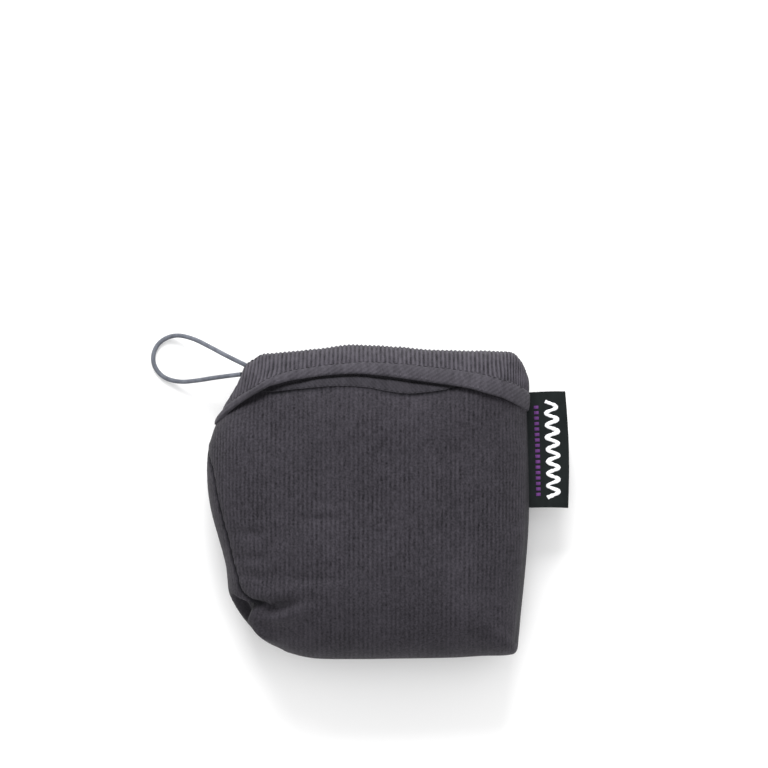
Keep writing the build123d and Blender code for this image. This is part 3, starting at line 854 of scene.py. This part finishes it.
def make_label():
    """A woven ribbon folded at its outer edge, with light and purple woven marks of no meaning."""
    v = np.linspace(0, 1, 90)
    reach = np.linspace(0, LABEL_TURN, 26)
    section = [(u, LABEL_HALF * (0.82 + 0.18 * u)) for u in reach]
    for turn in np.linspace(0, math.pi, 9)[1:-1]:
        section.append((LABEL_TURN + 0.025 * math.sin(turn), LABEL_HALF * math.cos(turn)))
    section += [(u, -LABEL_HALF * (0.82 + 0.18 * u)) for u in reach[::-1]]
    piece = grid_mesh("label_ribbon", np.array([label_at(u, v, off) for u, off in section]))
    dress(piece, RIBBON, None, "label_ribbon", "side_label")
    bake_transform(piece)
    peaks, stroke = 8, 0.046
    zigzag = [(0.49 + 0.27 * (k % 2), 0.085 + 0.83 * k / (2 * peaks)) for k in range(2 * peaks + 1)]
    line = smooth_line(zigzag, 260)
    way = np.gradient(line, axis=0) * (1 / 3.0, 1.0)
    side = np.stack([way[:, 1], -way[:, 0]], axis=1)
    side /= np.linalg.norm(side, axis=1, keepdims=True)
    side *= (1.0, 0.33)
    rows = []
    for across, off in ((-1, 0.0), (-0.9, 0.16), (0, 0.2), (0.9, 0.16), (1, 0.0)):
        uneven = 1 + 0.25 * noise(line[:, 1] * 60, line[:, 0] * 60, 3, 91)
        q = line + side * across * stroke * uneven[:, None]
        rows.append(label_at(q[:, 0], q[:, 1], LABEL_HALF + off - 0.02))
    marks = grid_mesh("label_peaks", np.array(rows), flip=True)
    dress(marks, WHITE, None, "label_white", "label_motif_white")
    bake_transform(marks)
    parts = []
    for k in range(DASHES):
        low = 0.10 + 0.8 * k / DASHES
        u, w = np.meshgrid(np.linspace(0.215, 0.325, 3), np.linspace(low, low + 0.028, 4))
        points = label_at(u, w, LABEL_HALF + 0.10).reshape(-1, 3)
        faces = [(3 * a + b, 3 * a + b + 1, 3 * a + b + 4, 3 * a + b + 3) for a in range(3) for b in range(2)]
        parts.append((points, faces))
    dashes = joined_mesh("label_dashes", parts)
    thicken = dashes.modifiers.new("thickness", "SOLIDIFY")
    thicken.thickness, thicken.offset = 0.00012, -1
    dress(dashes, PURPLE, None, "label_purple", "label_motif_purple")
    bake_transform(dashes)


# ---------------------------------------------------------------- hang loop
CORD = 2.3
LOOP_ROUTE = [
    (-63.2, 70.4, 25.0), (-71.6, 74.4, 22.6), (-81.4, 79.6, 15.6), (-91.2, 84.6, 7.6), (-101.2, 86.6, 2.4),
    (-110.0, 82.0, 1.3), (-112.8, 72.8, 1.3), (-108.0, 64.6, 1.3), (-98.8, 61.6, 2.8), (-88.4, 62.6, 9.0),
    (-77.6, 64.4, 18.0), (-65.6, 65.8, 25.0),
]


def make_loop():
    """The elastic loop, limp, from the seam down to the surface and back."""
    data = bpy.data.curves.new("loop_cord", "CURVE")
    data.dimensions = "3D"
    data.bevel_depth = CORD / 2 * MM
    data.bevel_resolution = 6
    data.resolution_u = 10
    spline = data.splines.new("NURBS")
    spline.points.add(len(LOOP_ROUTE) - 1)
    for point, place in zip(spline.points, LOOP_ROUTE):
        point.co = (*(c * MM for c in place), 1.0)
    spline.order_u = 3
    spline.use_endpoint_u = True
    piece = put("loop_cord", data)
    dress(piece, CORD_COVER, "hang_loop", "elastic_cord", "hang_loop")


# ---------------------------------------------------------------- the quilt inside
# The height of each fold's middle, half its thickness, and its share of the pocket's outline.
QUILT_STACK = [(8.8, 6.9, 0.84), (22.6, 6.7, 0.925), (36.2, 6.7, 0.92), (49.4, 6.3, 0.80)]


def make_quilt():
    """The folded quilt: a stack of puffed layers, seen only through the open mouth."""
    turns, rings = 220, 40
    for number, (height, half, scale) in enumerate(QUILT_STACK, 1):
        angle = np.linspace(-math.pi, math.pi, turns, endpoint=False)
        reach = np.interp(angle, outline_angle, outline_reach, period=2 * math.pi) * scale
        rho = np.sin(np.linspace(0.02, math.pi - 0.02, 2 * rings))
        side = np.where(np.arange(2 * rings) < rings, 1.0, -1.0)
        a, r = np.meshgrid(angle, rho)
        x, y = np.cos(a) * r * reach, np.sin(a) * r * reach
        crumple = 0.9 * noise(x, y, (16, 12), 100 + number) + 0.4 * noise(x, y, (6, 5), 110 + number)
        channel = -0.8 * bell((y + 90) % 34 - 17, 1.6)
        thick = half * (1 - r**6) ** 0.45
        z = height + side[:, None] * thick + (crumple + channel * side[:, None]) * (1 - r**6) * 0.55
        z = np.maximum(z, 1.7)
        p = np.stack([x, y, z], axis=-1)
        p = np.concatenate([p, p[:, :1]], axis=1)
        piece = grid_mesh(f"quilt_fold_{number}", p)
        dress(piece, QUILT_CLOTH, "pocket", "quilt_face")
    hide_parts("quilt_face_fabric", "quilt_batting", "quilt_lining", "quilt_hem_binding",
                "quilt_quilting_thread")


def dress_cad_nodes():
    """The small sewn pieces inside keep their CAD shapes and get real materials."""
    kept = {
        "label_sewn_ends": RIBBON,
        "label_stitching": THREAD,
        "loop_sewn_ends": CORD_COVER,
        "loop_bartack": THREAD,
        "care_label": CARE_TAPE,
    }
    for name, material in kept.items():
        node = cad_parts[name]
        node.data.materials.clear()
        node.data.materials.append(material)


make_loop()
make_front()
make_back()
make_hood()
make_hood_tape()
make_mouth_tape()
make_label()
make_quilt()
dress_cad_nodes()
